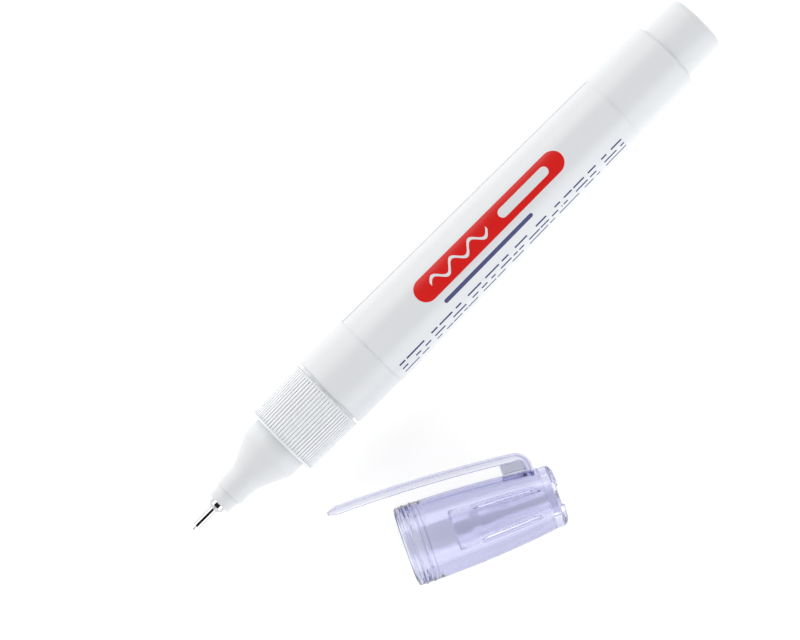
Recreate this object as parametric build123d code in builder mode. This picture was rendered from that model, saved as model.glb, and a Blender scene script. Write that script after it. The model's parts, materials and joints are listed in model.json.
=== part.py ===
from build123d import *
import os
from math import atan2, degrees, sqrt

# A correction pen lying uncapped on its side, with its cap lying beside it.
# Lengths are in millimetres and angles in degrees.
# The pen is drawn along +X from its needle point to its tail, and the cap along +X from its mouth
# to its crown, with its clip towards +Y. Both are laid on the ground at the end.

# Fits shared by the pieces
PRESS_GAP = 0.02
CAP_CLEARANCE = 0.05
OVERRUN = 1.0

# Needle point: pin, tube and ferrule
PIN_REACH = 0.83
PIN_R = 0.22
PIN_POINT_R = 0.1
PIN_POINT_LENGTH = 0.22
PIN_STEP = 0.12
PIN_CLEARANCE = 0.04
VALVE_TRAVEL = 0.5
VALVE_SHUT_GAP = 0.05
TUBE_REACH = 4.28
TUBE_FLOW_GAP = 0.12
TUBE_WALL = 0.26
TUBE_EDGE_ROUND = 0.12
TUBE_SEATED_LENGTH = 4.4
LIP_LENGTH = 0.5
LIP_CONE_LENGTH = 0.3
FERRULE_LENGTH = 1.44
FERRULE_CONE_LENGTH = 0.67
FERRULE_FRONT_WALL = 0.1
FERRULE_RIM = 0.32
SHANK_WALL = 0.41
SHANK_LENGTH = 4.0

# Valve in the nozzle's chamber
CHAMBER_STEP = 0.58
PLUNGER_GAP = 0.25
PLUNGER_FLOW_GAP = 0.4
PLUNGER_LENGTH = 1.6
PLUNGER_STEM_WALL = 0.24
PLUNGER_STOP_GAP = 0.05
PIN_SEATED_LENGTH = 1.2
SPRING_SPACE = 5.2
SPRING_STEM_GAP = 0.28
SPRING_WIRE_R = 0.12
SPRING_TURNS = 6
SPRING_END_GAP = 0.05
RETAINER_LENGTH = 1.6
RETAINER_LEDGE = 0.2
RETAINER_SLOTS = 3
RETAINER_SLOT_WIDTH = 0.8
RETAINER_SLOT_DEPTH = 0.55

# Nozzle
NECK_WALL = 1.05
NECK_DRAFT = 0.16
NECK_LENGTH = 4.21
NECK_EDGE_ROUND = 0.12
NOSE_STEP = 0.36
NOSE_DRAFT = 0.15
NOSE_LENGTH = 2.44
NOSE_EDGE_ROUND = 0.2
CONE_LENGTH = 5.78
CONE_HOLLOW_ROUND = 6.0
CONE_BACK_ROUND = 2.2
SEAT_R = 5.65
SEAT_LENGTH = 3.1
LIP_LAND_STEP = 0.25
FLANGE_STEP = 0.6
FLANGE_LENGTH = 1.4
PLUG_LENGTH = 6.0
PLUG_WALL = 0.9
FUNNEL_LENGTH = 3.0

# Collar and the seal behind the nozzle's flange
COLLAR_LENGTH = 11.72
COLLAR_WALL = 0.88
COLLAR_FLARE = 0.24
COLLAR_LIP_LENGTH = 1.2
COLLAR_EDGE_ROUND = 0.3
COLLAR_CLEARANCE = 0.05
RIB_COUNT = 72
RIB_GROOVE_WIDTH = 0.3
RIB_GROOVE_DEPTH = 0.16
RIB_RIM_LENGTH = 0.45
SEAL_THICKNESS = 0.6
SNAP_HEIGHT = 0.25
SNAP_LENGTH = 1.2
SNAP_PLACE = 3.0

# Barrel, label and tail
COLLAR_TO_BARREL = 0.55
BARREL_NECK_WALL = 1.18
BARREL_STEP = 0.11
BARREL_FRONT_LENGTH = 10.5
BARREL_EDGE_ROUND = 0.4
BARREL_WALL = 1.0
BARREL_SHOULDER_LENGTH = 1.2
BARREL_REAR_LENGTH = 13.76
BARREL_REAR_STEP = 1.14
BARREL_REAR_ROUND = 0.95
LABEL_LENGTH = 60.65
LABEL_THICKNESS = 0.16
LAP_THICKNESS = 0.07
LAP_START_ANGLE = -5.0
LAP_SPAN_ANGLE = 27.0
TAIL_REACH = 8.19
TAIL_DEPTH = 8.2
TAIL_SHOULDER = 0.3
TAIL_WALL = 0.9
TAIL_END_WALL = 1.5
TAIL_END_ROUND = 1.2

# Mixing ball, resting on the bore's lower side
BALL_R = 2.5
BALL_GAP = 0.1
BALL_PLACE = 75.0

# Cap shell
CAP_SHELL_LENGTH = 26.5
CAP_PROUD = 0.1
CAP_BAND_LENGTH = 4.4
CAP_LINE_WIDTH = 0.3
CAP_LINE_DEPTH = 0.12
CAP_BULGE_PLACE = 13.9
CAP_BULGE_DROP = 0.34
CAP_END_DROP = 1.55
CAP_WALL = 1.0
CAP_END_WALL = 1.03
CAP_MOUTH_ROUND = 0.5
CAP_LEAD_IN = 0.3
CAP_LAND_SPARE = 0.2
BEAD_FRONT_PLACE = 1.6
BEAD_REAR_PLACE = 3.05
BEAD_ROUND = 0.45
BEAD_PROUD = 0.18
CAP_RIB_COUNT = 6
CAP_RIB_WIDTH = 0.5
CAP_RIB_HEIGHT = 0.4
CAP_RIB_LENGTH = 12.0

# Cap crown
CROWN_LENGTH = 2.4
CROWN_STEP = 0.05
CROWN_ROUND = 1.1
CROWN_RIM_WALL = 1.3
CROWN_DISH_DEPTH = 1.1
SPIGOT_LENGTH = 1.8
SPIGOT_WALL = 0.8
PEG_LENGTH = 2.0
VENT_COUNT = 3
VENT_SPOKE_WIDTH = 2.2
VENT_MARGIN = 0.15
NOTCH_COUNT = 3
NOTCH_WIDTH = 4.4
NOTCH_DEPTH = 0.4
NOTCH_START_ANGLE = 90.0

# Cap inner sleeve
SLEEVE_FRONT_GAP = 0.12
SLEEVE_CLEARANCE = 0.04
SLEEVE_LIP_WALL = 0.7
SLEEVE_LIP_SPARE = 0.3
SLEEVE_LIP_ROUND = 0.25
SLEEVE_STEP_LENGTH = 0.5
SLEEVE_NOSE_WALL = 0.57
SLEEVE_END_WALL = 0.88
SLEEVE_NOSE_SPARE = 0.3
NEEDLE_ROOM = 0.15

# Cap clip and the pad that it hinges on
CLIP_OVERHANG = 11.2
CLIP_CHISEL_LENGTH = 1.6
CLIP_END_GAP = 2.25
CLIP_ROOT_GAP = 1.85
CLIP_BOW = 0.45
CLIP_FLANGE_THICKNESS = 1.0
CLIP_RIB_THICKNESS = 0.7
CLIP_ROOT_WIDTH = 4.4
CLIP_FREE_WIDTH = 3.6
CLIP_RIB_WIDTH = 1.8
CLIP_END_ROUND = 1.2
CLIP_BACK_ROUND = 2.8
CLIP_EDGE_ROUND = 0.25
BRIDGE_LENGTH = 5.6
BRIDGE_WIDTH = 3.0
BRIDGE_GAP = 0.15
PAD_LENGTH = 2.2
PAD_MARGIN = 0.2
PAD_HEIGHT = 0.4
PAD_ROOT = 0.75
KNUCKLE_R = 0.6
KNUCKLE_CLEARANCE = 0.05
KNUCKLE_RISE = 0.2

# Where the cap's mouth lies, from the needle point, and how far the cap is turned from the pen
CAP_ALONG = 24.4
CAP_ASIDE = -29.1
CAP_TURN_ANGLE = -26.0

# Radii from the pin outwards to the nozzle's neck
lip_bore_r = PIN_R + PIN_CLEARANCE
pin_stem_r = PIN_R + PIN_STEP
tube_bore_r = pin_stem_r + TUBE_FLOW_GAP
tube_r = tube_bore_r + TUBE_WALL
ferrule_bore_r = tube_r + PRESS_GAP
shank_r = ferrule_bore_r + SHANK_WALL
ferrule_r = shank_r + FERRULE_RIM
shank_bore_r = shank_r + PRESS_GAP
chamber_r = shank_bore_r + CHAMBER_STEP
neck_front_r = chamber_r + NECK_WALL
neck_rear_r = neck_front_r + NECK_DRAFT
nose_rear_r = neck_front_r - NOSE_STEP
nose_front_r = nose_rear_r - NOSE_DRAFT

# Radii from the cap seat outwards to the label, and of the tail, which takes the cap too
lip_land_r = SEAT_R + LIP_LAND_STEP
flange_r = SEAT_R + FLANGE_STEP
neck_bore_r = flange_r - BARREL_NECK_WALL
plug_r = neck_bore_r - PRESS_GAP
collar_bore_r = flange_r + PRESS_GAP
collar_front_r = collar_bore_r + COLLAR_WALL
collar_rear_r = collar_front_r + COLLAR_FLARE
barrel_front_r = collar_rear_r + BARREL_STEP
tail_shank_r = SEAT_R - TAIL_SHOULDER
tail_bore_r = tail_shank_r + PRESS_GAP
barrel_rear_r = SEAT_R + BARREL_REAR_STEP
label_front_r = barrel_front_r + PRESS_GAP
label_rear_r = barrel_rear_r + PRESS_GAP
reservoir_front_r = barrel_front_r - BARREL_WALL
reservoir_rear_r = barrel_rear_r - BARREL_WALL

# Stations along the pen, measured back from the needle point
x_tube = PIN_REACH
x_ferrule = x_tube + TUBE_REACH
x_nose = x_ferrule + FERRULE_LENGTH
x_neck = x_nose + NOSE_LENGTH
x_cone = x_neck + NECK_LENGTH
x_seat = x_cone + CONE_LENGTH
x_collar = x_seat + SEAT_LENGTH
x_flange = x_collar + COLLAR_LIP_LENGTH
x_seal = x_flange + FLANGE_LENGTH
x_barrel_neck = x_seal + SEAL_THICKNESS
x_plug_end = x_seal + PLUG_LENGTH
x_collar_end = x_collar + COLLAR_LENGTH
x_barrel = x_collar_end + COLLAR_TO_BARREL
x_label = x_barrel + BARREL_FRONT_LENGTH
x_label_end = x_label + LABEL_LENGTH
x_tail = x_label_end + BARREL_REAR_LENGTH
x_end = x_tail + TAIL_REACH

# Stations of the valve inside the nozzle
x_tube_end = x_ferrule + TUBE_SEATED_LENGTH
x_chamber = x_nose + SHANK_LENGTH
x_plunger = x_chamber + PLUNGER_GAP
x_pin_end = x_plunger + PIN_SEATED_LENGTH
x_plunger_end = x_plunger + PLUNGER_LENGTH
x_retainer = x_plunger_end + SPRING_SPACE
x_retainer_end = x_retainer + RETAINER_LENGTH


def corner(sketch, x, y):
    """The corner of a profile that lies nearest to a point."""
    return sketch.vertices().sort_by_distance((x, y, 0))[0]


def between(x, start, end):
    """The height at x on the straight line through start and end."""
    return start[1] + (end[1] - start[1]) * (x - start[0]) / (end[0] - start[0])


def arc_height(arc, x):
    """The height at x on an arc that bulges upwards."""
    return arc.arc_center.Y + sqrt(arc.radius**2 - (x - arc.arc_center.X) ** 2)


# Needle tube: its mouth is drawn in to a lip that the pin runs in and shuts
x_lip_end = x_tube + LIP_LENGTH
x_lip_cone_end = x_lip_end + LIP_CONE_LENGTH
with BuildPart() as needle_tube:
    with BuildSketch(Plane.XY) as tube_profile:
        with BuildLine():
            Polyline(
                (x_tube, lip_bore_r),
                (x_tube, tube_r),
                (x_tube_end, tube_r),
                (x_tube_end, tube_bore_r),
                (x_lip_cone_end, tube_bore_r),
                (x_lip_end, lip_bore_r),
                close=True,
            )
        make_face()
        fillet(corner(tube_profile, x_tube, tube_r), TUBE_EDGE_ROUND)
    revolve(axis=Axis.X)
needle_tube.part.label = "needle_tube"

# Ferrule: holds the tube against an inner shoulder and is pressed into the nose by its shank
with BuildPart() as tip_ferrule:
    with BuildSketch(Plane.XY):
        with BuildLine():
            Polyline(
                (x_ferrule, ferrule_bore_r),
                (x_ferrule, ferrule_bore_r + FERRULE_FRONT_WALL),
                (x_ferrule + FERRULE_CONE_LENGTH, ferrule_r),
                (x_nose, ferrule_r),
                (x_nose, shank_r),
                (x_chamber, shank_r),
                (x_chamber, tube_bore_r),
                (x_tube_end, tube_bore_r),
                (x_tube_end, ferrule_bore_r),
                close=True,
            )
        make_face()
    revolve(axis=Axis.X)
tip_ferrule.part.label = "tip_ferrule"

# Valve pin: a thin end that stands out of the tube, a cone that shuts the lip, and a stem
lip_cone_slope = (tube_bore_r - lip_bore_r) / LIP_CONE_LENGTH
x_pin_cone = x_lip_end + VALVE_SHUT_GAP
x_pin_stem = x_pin_cone + PIN_STEP / lip_cone_slope
with BuildPart() as valve_pin:
    with BuildSketch(Plane.XY):
        with BuildLine():
            Polyline(
                (0, 0),
                (0, PIN_POINT_R),
                (PIN_POINT_LENGTH, PIN_R),
                (x_pin_cone, PIN_R),
                (x_pin_stem, pin_stem_r),
                (x_pin_end, pin_stem_r),
                (x_pin_end, 0),
                close=True,
            )
        make_face()
    revolve(axis=Axis.X)
valve_pin.part.label = "valve_pin"

# Valve plunger: carries the pin in a blind hole, and its stem stops on the retainer after the travel
plunger_r = chamber_r - PLUNGER_FLOW_GAP
pin_hole_r = pin_stem_r + PRESS_GAP
plunger_stem_r = pin_hole_r + PLUNGER_STEM_WALL
x_plunger_stem_end = x_retainer - VALVE_TRAVEL - PLUNGER_STOP_GAP
with BuildPart() as valve_plunger:
    with BuildSketch(Plane.XY):
        with BuildLine():
            Polyline(
                (x_plunger, pin_hole_r),
                (x_plunger, plunger_r),
                (x_plunger_end, plunger_r),
                (x_plunger_end, plunger_stem_r),
                (x_plunger_stem_end, plunger_stem_r),
                (x_plunger_stem_end, 0),
                (x_pin_end, 0),
                (x_pin_end, pin_hole_r),
                close=True,
            )
        make_face()
    revolve(axis=Axis.X)
valve_plunger.part.label = "valve_plunger"

# Valve spring: one coil round the plunger's stem, from its head to the retainer
spring_start = x_plunger_end + SPRING_END_GAP + SPRING_WIRE_R
spring_height = SPRING_SPACE - 2 * (SPRING_END_GAP + SPRING_WIRE_R)
spring_coil_r = plunger_stem_r + SPRING_STEM_GAP + SPRING_WIRE_R
with BuildPart() as valve_spring:
    with BuildLine() as spring_path:
        Helix(
            spring_height / SPRING_TURNS,
            spring_height,
            spring_coil_r,
            center=(spring_start, 0, 0),
            direction=(1, 0, 0),
        )
    with BuildSketch(Plane(origin=spring_path.line @ 0, z_dir=spring_path.line % 0)):
        Circle(SPRING_WIRE_R)
    sweep(path=spring_path.line, is_frenet=True)
valve_spring.part.label = "valve_spring"

# Spring retainer: a ring that the stem stops on, with slots in its rim for the fluid
retainer_r = chamber_r - PRESS_GAP
with BuildPart() as spring_retainer:
    with BuildSketch(Plane.YZ.offset(x_retainer)):
        Circle(retainer_r)
        Circle(plunger_stem_r - RETAINER_LEDGE, mode=Mode.SUBTRACT)
        with PolarLocations(retainer_r, RETAINER_SLOTS):
            Rectangle(2 * RETAINER_SLOT_DEPTH, RETAINER_SLOT_WIDTH, mode=Mode.SUBTRACT)
    extrude(amount=RETAINER_LENGTH)
spring_retainer.part.label = "spring_retainer"

# Nozzle: stepped nose, cone and cap seat outside; chamber, funnel and plug bore inside
plug_bore_r = plug_r - PLUG_WALL
with BuildPart() as nozzle:
    with BuildSketch(Plane.XY) as nozzle_profile:
        with BuildLine():
            Polyline(
                (x_nose, shank_bore_r),
                (x_nose, nose_front_r),
                (x_neck, nose_rear_r),
                (x_neck, neck_front_r),
                (x_cone, neck_rear_r),
                (x_seat, SEAT_R),
                (x_collar, SEAT_R),
                (x_collar, lip_land_r),
                (x_flange, lip_land_r),
                (x_flange, flange_r),
                (x_seal, flange_r),
                (x_seal, plug_r),
                (x_plug_end, plug_r),
                (x_plug_end, plug_bore_r),
                (x_retainer_end + FUNNEL_LENGTH, plug_bore_r),
                (x_retainer_end, chamber_r),
                (x_chamber, chamber_r),
                (x_chamber, shank_bore_r),
                close=True,
            )
        make_face()
        fillet(corner(nozzle_profile, x_nose, nose_front_r), NOSE_EDGE_ROUND)
        fillet(corner(nozzle_profile, x_neck, neck_front_r), NECK_EDGE_ROUND)
        fillet(corner(nozzle_profile, x_cone, neck_rear_r), CONE_HOLLOW_ROUND)
        fillet(corner(nozzle_profile, x_seat, SEAT_R), CONE_BACK_ROUND)
    revolve(axis=Axis.X)
nozzle.part.label = "nozzle"

# Neck seal: a washer between the nozzle's flange and the end of the barrel's neck
with BuildPart() as neck_seal:
    with BuildSketch(Plane.YZ.offset(x_seal)):
        Circle(flange_r)
        Circle(neck_bore_r, mode=Mode.SUBTRACT)
    extrude(amount=SEAL_THICKNESS)
neck_seal.part.label = "neck_seal"

# One groove between two ribs, cut along the collar's slanted side
collar_front = (x_collar, collar_front_r)
collar_rear = (x_collar_end, collar_rear_r)
x_rib = x_collar + RIB_RIM_LENGTH
rib_start = (x_rib, between(x_rib, collar_front, collar_rear), 0)
with BuildPart() as rib_groove:
    with BuildSketch(Plane(origin=rib_start, x_dir=(0, 0, 1), z_dir=(COLLAR_LENGTH, COLLAR_FLARE, 0))):
        with BuildLine():
            Polyline(
                (-RIB_GROOVE_WIDTH, -RIB_GROOVE_DEPTH),
                (RIB_GROOVE_WIDTH, -RIB_GROOVE_DEPTH),
                (0, RIB_GROOVE_DEPTH),
                close=True,
            )
        make_face()
    extrude(amount=COLLAR_LENGTH - 2 * RIB_RIM_LENGTH)

# Collar: a lip in front of the nozzle's flange, a groove that snaps over the neck, and ribs
x_snap = x_collar_end - SNAP_PLACE
x_snap_front = x_snap - SNAP_LENGTH / 2
x_snap_rear = x_snap + SNAP_LENGTH / 2
collar_lip_r = lip_land_r + COLLAR_CLEARANCE
with BuildPart() as collar:
    with BuildSketch(Plane.XY) as collar_profile:
        with BuildLine():
            Polyline(
                (x_collar, collar_lip_r),
                collar_front,
                collar_rear,
                (x_collar_end, collar_bore_r),
                (x_snap_rear + SNAP_HEIGHT, collar_bore_r),
                (x_snap_rear, collar_bore_r + SNAP_HEIGHT),
                (x_snap_front, collar_bore_r + SNAP_HEIGHT),
                (x_snap_front - SNAP_HEIGHT, collar_bore_r),
                (x_flange, collar_bore_r),
                (x_flange, collar_lip_r),
                close=True,
            )
        make_face()
        fillet(corner(collar_profile, *collar_front), COLLAR_EDGE_ROUND)
        fillet(corner(collar_profile, *collar_rear), COLLAR_EDGE_ROUND)
    revolve(axis=Axis.X)
    grooves = [rib_groove.part.rotate(Axis.X, 360 * rib / RIB_COUNT) for rib in range(RIB_COUNT)]
    add(grooves, mode=Mode.SUBTRACT)
collar.part.label = "collar"

# Barrel: neck with its snap ridge, straight front, tapering middle, straight rear with a round shoulder
x_reservoir = x_barrel + BARREL_SHOULDER_LENGTH
x_tail_seat = x_tail - TAIL_DEPTH
with BuildPart() as barrel:
    with BuildSketch(Plane.XY) as barrel_profile:
        with BuildLine():
            Polyline(
                (x_barrel_neck, neck_bore_r),
                (x_barrel_neck, flange_r),
                (x_snap_front - SNAP_HEIGHT, flange_r),
                (x_snap_front, flange_r + SNAP_HEIGHT),
                (x_snap_rear, flange_r + SNAP_HEIGHT),
                (x_snap_rear + SNAP_HEIGHT, flange_r),
                (x_barrel, flange_r),
                (x_barrel, barrel_front_r),
                (x_label, barrel_front_r),
                (x_label_end, barrel_rear_r),
                (x_tail, barrel_rear_r),
                (x_tail, tail_bore_r),
                (x_tail_seat, tail_bore_r),
                (x_tail_seat, reservoir_rear_r),
                (x_label_end, reservoir_rear_r),
                (x_label, reservoir_front_r),
                (x_reservoir, reservoir_front_r),
                (x_barrel, neck_bore_r),
                close=True,
            )
        make_face()
        fillet(corner(barrel_profile, x_barrel, barrel_front_r), BARREL_EDGE_ROUND)
        fillet(corner(barrel_profile, x_tail, barrel_rear_r), BARREL_REAR_ROUND)
    revolve(axis=Axis.X)
barrel.part.label = "barrel"

# Label sleeve: film round the tapering middle, with a lapped strip along its seam
lap_plane = Plane.XY.rotated((LAP_START_ANGLE, 0, 0))
lap_layer = (lap_plane, LABEL_THICKNESS + LAP_THICKNESS, LAP_SPAN_ANGLE)
with BuildPart() as label_sleeve:
    for plane, thickness, arc in ((Plane.XY, LABEL_THICKNESS, 360), lap_layer):
        with BuildSketch(plane):
            with BuildLine():
                Polyline(
                    (x_label, label_front_r),
                    (x_label, label_front_r + thickness),
                    (x_label_end, label_rear_r + thickness),
                    (x_label_end, label_rear_r),
                    close=True,
                )
            make_face()
        revolve(axis=Axis.X, revolution_arc=arc)
label_sleeve.part.label = "label_sleeve"

# Tail plug: a cup pressed into the barrel as far as its shoulder, with a rounded end
tail_cup_r = tail_shank_r - TAIL_WALL
x_cup_end = x_end - TAIL_END_WALL
with BuildPart() as tail_plug:
    with BuildSketch(Plane.XY) as tail_profile:
        with BuildLine():
            Polyline(
                (x_tail_seat, tail_cup_r),
                (x_tail_seat, tail_shank_r),
                (x_tail, tail_shank_r),
                (x_tail, SEAT_R),
                (x_end, SEAT_R),
                (x_end, 0),
                (x_cup_end, 0),
                (x_cup_end, tail_cup_r),
                close=True,
            )
        make_face()
        fillet(corner(tail_profile, x_end, SEAT_R), TAIL_END_ROUND)
    revolve(axis=Axis.X)
tail_plug.part.label = "tail_plug"

# Mixing ball: lies on the lower side of the reservoir
ball_bore_r = between(BALL_PLACE, (x_label, reservoir_front_r), (x_label_end, reservoir_rear_r))
with BuildPart() as mixing_ball:
    with Locations((BALL_PLACE, 0, BALL_R + BALL_GAP - ball_bore_r)):
        Sphere(BALL_R)
mixing_ball.part.label = "mixing_ball"

# The cap's side bulges along one arc, from the end of its mouth band to its crown
cap_mouth_r = collar_front_r + CAP_PROUD
cap_bulge_r = cap_mouth_r - CAP_BULGE_DROP
cap_end_r = cap_mouth_r - CAP_END_DROP
cap_side = Edge.make_three_point_arc(
    (CAP_BAND_LENGTH, cap_mouth_r),
    (CAP_BULGE_PLACE, cap_bulge_r),
    (CAP_SHELL_LENGTH, cap_end_r),
)


def cap_radius(x):
    """The cap's outer radius at a distance x from its mouth, past the mouth band."""
    return arc_height(cap_side, x)


# One of the ribs inside the cap, in front of its crown
x_cap_rib_end = CAP_SHELL_LENGTH - SPIGOT_LENGTH - PRESS_GAP
x_cap_rib = x_cap_rib_end - CAP_RIB_LENGTH
with BuildPart() as cap_rib:
    with BuildSketch(Plane.XY):
        with BuildLine():
            Polyline(
                (x_cap_rib, cap_radius(x_cap_rib) - CAP_WALL / 2),
                (x_cap_rib, cap_radius(x_cap_rib) - CAP_WALL - CAP_RIB_HEIGHT),
                (x_cap_rib_end, cap_radius(x_cap_rib_end) - CAP_WALL - CAP_RIB_HEIGHT),
                (x_cap_rib_end, cap_radius(x_cap_rib_end) - CAP_WALL / 2),
                close=True,
            )
        make_face()
    extrude(amount=CAP_RIB_WIDTH / 2, both=True)

# Cap shell: beaded band round the cap seat, bulging side, ribs, open end for the crown, pad for the clip
cap_land_r = SEAT_R + CAP_CLEARANCE
cap_land_end = SEAT_LENGTH + CAP_LAND_SPARE
cap_end_bore_r = cap_end_r - CAP_END_WALL
x_spigot = CAP_SHELL_LENGTH - SPIGOT_LENGTH
x_pad = CAP_SHELL_LENGTH - PAD_LENGTH
hinge_x = CAP_SHELL_LENGTH - PAD_LENGTH / 2
pad_top = cap_radius(hinge_x) + PAD_HEIGHT
pad_width = CLIP_ROOT_WIDTH + 2 * PAD_MARGIN
hinge_y = pad_top + KNUCKLE_RISE
with BuildPart() as cap_shell:
    with BuildSketch(Plane.XY) as shell_profile:
        with BuildLine():
            Polyline(
                (cap_land_end, cap_land_r),
                (CAP_LEAD_IN, cap_land_r),
                (0, cap_land_r + CAP_LEAD_IN),
                (0, cap_mouth_r),
                (CAP_BAND_LENGTH, cap_mouth_r),
            )
            ThreePointArc(
                (CAP_BAND_LENGTH, cap_mouth_r),
                (CAP_BULGE_PLACE, cap_bulge_r),
                (CAP_SHELL_LENGTH, cap_end_r),
            )
            Polyline(
                (CAP_SHELL_LENGTH, cap_end_r),
                (CAP_SHELL_LENGTH, cap_end_bore_r),
                (x_spigot, cap_end_bore_r),
                (x_spigot, cap_radius(x_spigot) - CAP_WALL),
            )
            ThreePointArc(
                (x_spigot, cap_radius(x_spigot) - CAP_WALL),
                (CAP_BULGE_PLACE, cap_bulge_r - CAP_WALL),
                (CAP_BAND_LENGTH, cap_mouth_r - CAP_WALL),
            )
            Line((CAP_BAND_LENGTH, cap_mouth_r - CAP_WALL), (cap_land_end, cap_land_r))
        make_face()
        fillet(corner(shell_profile, 0, cap_mouth_r), CAP_MOUTH_ROUND)
        with Locations(
            (BEAD_FRONT_PLACE, cap_mouth_r + BEAD_PROUD - BEAD_ROUND),
            (BEAD_REAR_PLACE, cap_mouth_r + BEAD_PROUD - BEAD_ROUND),
        ):
            Circle(BEAD_ROUND)
        with Locations((CAP_BAND_LENGTH, cap_mouth_r)):
            Rectangle(CAP_LINE_WIDTH, 2 * CAP_LINE_DEPTH, mode=Mode.SUBTRACT)
    revolve(axis=Axis.X)
    for rib in range(CAP_RIB_COUNT):
        add(cap_rib.part.rotate(Axis.X, 360 * rib / CAP_RIB_COUNT))
    with BuildSketch(Plane.XZ.offset(-pad_top)):
        with Locations((hinge_x, 0)):
            Rectangle(PAD_LENGTH, pad_width)
    extrude(amount=PAD_HEIGHT + PAD_ROOT)
    with BuildSketch(Plane.XY):
        with Locations((hinge_x, hinge_y)):
            Circle(KNUCKLE_R + KNUCKLE_CLEARANCE)
    extrude(amount=pad_width / 2 + OVERRUN, both=True, mode=Mode.SUBTRACT)
cap_shell.part.label = "cap_shell"

# Cap crown: rounded end with a dish, vents and notches, a spigot in the shell and a peg for the sleeve
crown_r = cap_end_r - CROWN_STEP
dish_r = crown_r - CROWN_RIM_WALL
spigot_r = cap_end_bore_r - PRESS_GAP
spigot_bore_r = spigot_r - SPIGOT_WALL
needle_room_r = ferrule_r + NEEDLE_ROOM
peg_r = needle_room_r - PRESS_GAP
sleeve_end_r = needle_room_r + SLEEVE_END_WALL
vent_inner_r = sleeve_end_r + VENT_MARGIN
vent_outer_r = spigot_bore_r - VENT_MARGIN
x_crown_end = CAP_SHELL_LENGTH + CROWN_LENGTH
x_dish = x_crown_end - CROWN_DISH_DEPTH
x_peg = CAP_SHELL_LENGTH - PEG_LENGTH
with BuildPart() as cap_crown:
    with BuildSketch(Plane.XY) as crown_profile:
        with BuildLine():
            Polyline(
                (x_peg, 0),
                (x_peg, peg_r),
                (CAP_SHELL_LENGTH, peg_r),
                (CAP_SHELL_LENGTH, spigot_bore_r),
                (x_spigot, spigot_bore_r),
                (x_spigot, spigot_r),
                (CAP_SHELL_LENGTH, spigot_r),
                (CAP_SHELL_LENGTH, crown_r),
                (x_crown_end, crown_r),
                (x_crown_end, dish_r),
                (x_dish, dish_r),
                (x_dish, 0),
                close=True,
            )
        make_face()
        fillet(corner(crown_profile, x_crown_end, crown_r), CROWN_ROUND)
    revolve(axis=Axis.X)
    with BuildSketch(Plane.YZ.offset(CAP_SHELL_LENGTH)):
        Circle(vent_outer_r)
        Circle(vent_inner_r, mode=Mode.SUBTRACT)
        with PolarLocations(vent_outer_r, VENT_COUNT):
            Rectangle(2 * vent_outer_r, VENT_SPOKE_WIDTH, mode=Mode.SUBTRACT)
    extrude(amount=x_dish - CAP_SHELL_LENGTH, mode=Mode.SUBTRACT)
    with BuildSketch(Plane.YZ.offset(x_crown_end - NOTCH_DEPTH)):
        with PolarLocations(crown_r, NOTCH_COUNT, start_angle=NOTCH_START_ANGLE):
            Rectangle(2 * CROWN_RIM_WALL + OVERRUN, NOTCH_WIDTH)
    extrude(amount=NOTCH_DEPTH, mode=Mode.SUBTRACT)
cap_crown.part.label = "cap_crown"

# Cap inner sleeve: a lip that takes the nozzle's neck, a bore for its nose, and room for the needle
x_sleeve = x_collar - x_cone + SLEEVE_FRONT_GAP
x_sleeve_nose = x_collar - x_neck + SLEEVE_CLEARANCE
x_sleeve_room = x_collar - x_nose + SLEEVE_NOSE_SPARE
x_sleeve_lip_end = x_sleeve_nose + SLEEVE_LIP_SPARE
sleeve_neck_r = neck_rear_r + SLEEVE_CLEARANCE
sleeve_nose_r = nose_rear_r + SLEEVE_CLEARANCE
sleeve_lip_r = sleeve_neck_r + SLEEVE_LIP_WALL
with BuildPart() as cap_inner_sleeve:
    with BuildSketch(Plane.XY) as sleeve_profile:
        with BuildLine():
            Polyline(
                (x_sleeve, sleeve_neck_r),
                (x_sleeve, sleeve_lip_r),
                (x_sleeve_lip_end, sleeve_lip_r),
                (x_sleeve_lip_end + SLEEVE_STEP_LENGTH, sleeve_nose_r + SLEEVE_NOSE_WALL),
                (CAP_SHELL_LENGTH, sleeve_end_r),
                (CAP_SHELL_LENGTH, needle_room_r),
                (x_sleeve_room, needle_room_r),
                (x_sleeve_room, sleeve_nose_r),
                (x_sleeve_nose, sleeve_nose_r),
                (x_sleeve_nose, sleeve_neck_r),
                close=True,
            )
        make_face()
        fillet(corner(sleeve_profile, x_sleeve, sleeve_lip_r), SLEEVE_LIP_ROUND)
    revolve(axis=Axis.X)
cap_inner_sleeve.part.label = "cap_inner_sleeve"

# Cap clip: a flared arm of flange and rib, a bridge block over the shell, and a knuckle in the pad
x_foot = hinge_x - KNUCKLE_R
x_back = hinge_x + KNUCKLE_R
x_bridge = x_back - BRIDGE_LENGTH
x_chisel = CLIP_CHISEL_LENGTH - CLIP_OVERHANG
x_pad_clear = x_pad - BRIDGE_GAP
arm_end = (-CLIP_OVERHANG, cap_mouth_r + CLIP_END_GAP)
arm_root = (x_bridge, cap_radius(x_bridge) + CLIP_ROOT_GAP)
x_bow = (arm_end[0] + arm_root[0]) / 2
arm_underside = Edge.make_three_point_arc(
    arm_end,
    (x_bow, between(x_bow, arm_end, arm_root) + CLIP_BOW),
    arm_root,
)
clip_thickness = CLIP_RIB_THICKNESS + CLIP_FLANGE_THICKNESS


def arm_point(x, height):
    """A point of the clip's side view, at a height above the arm's underside."""
    return (x, arc_height(arm_underside, x) + height)


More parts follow.
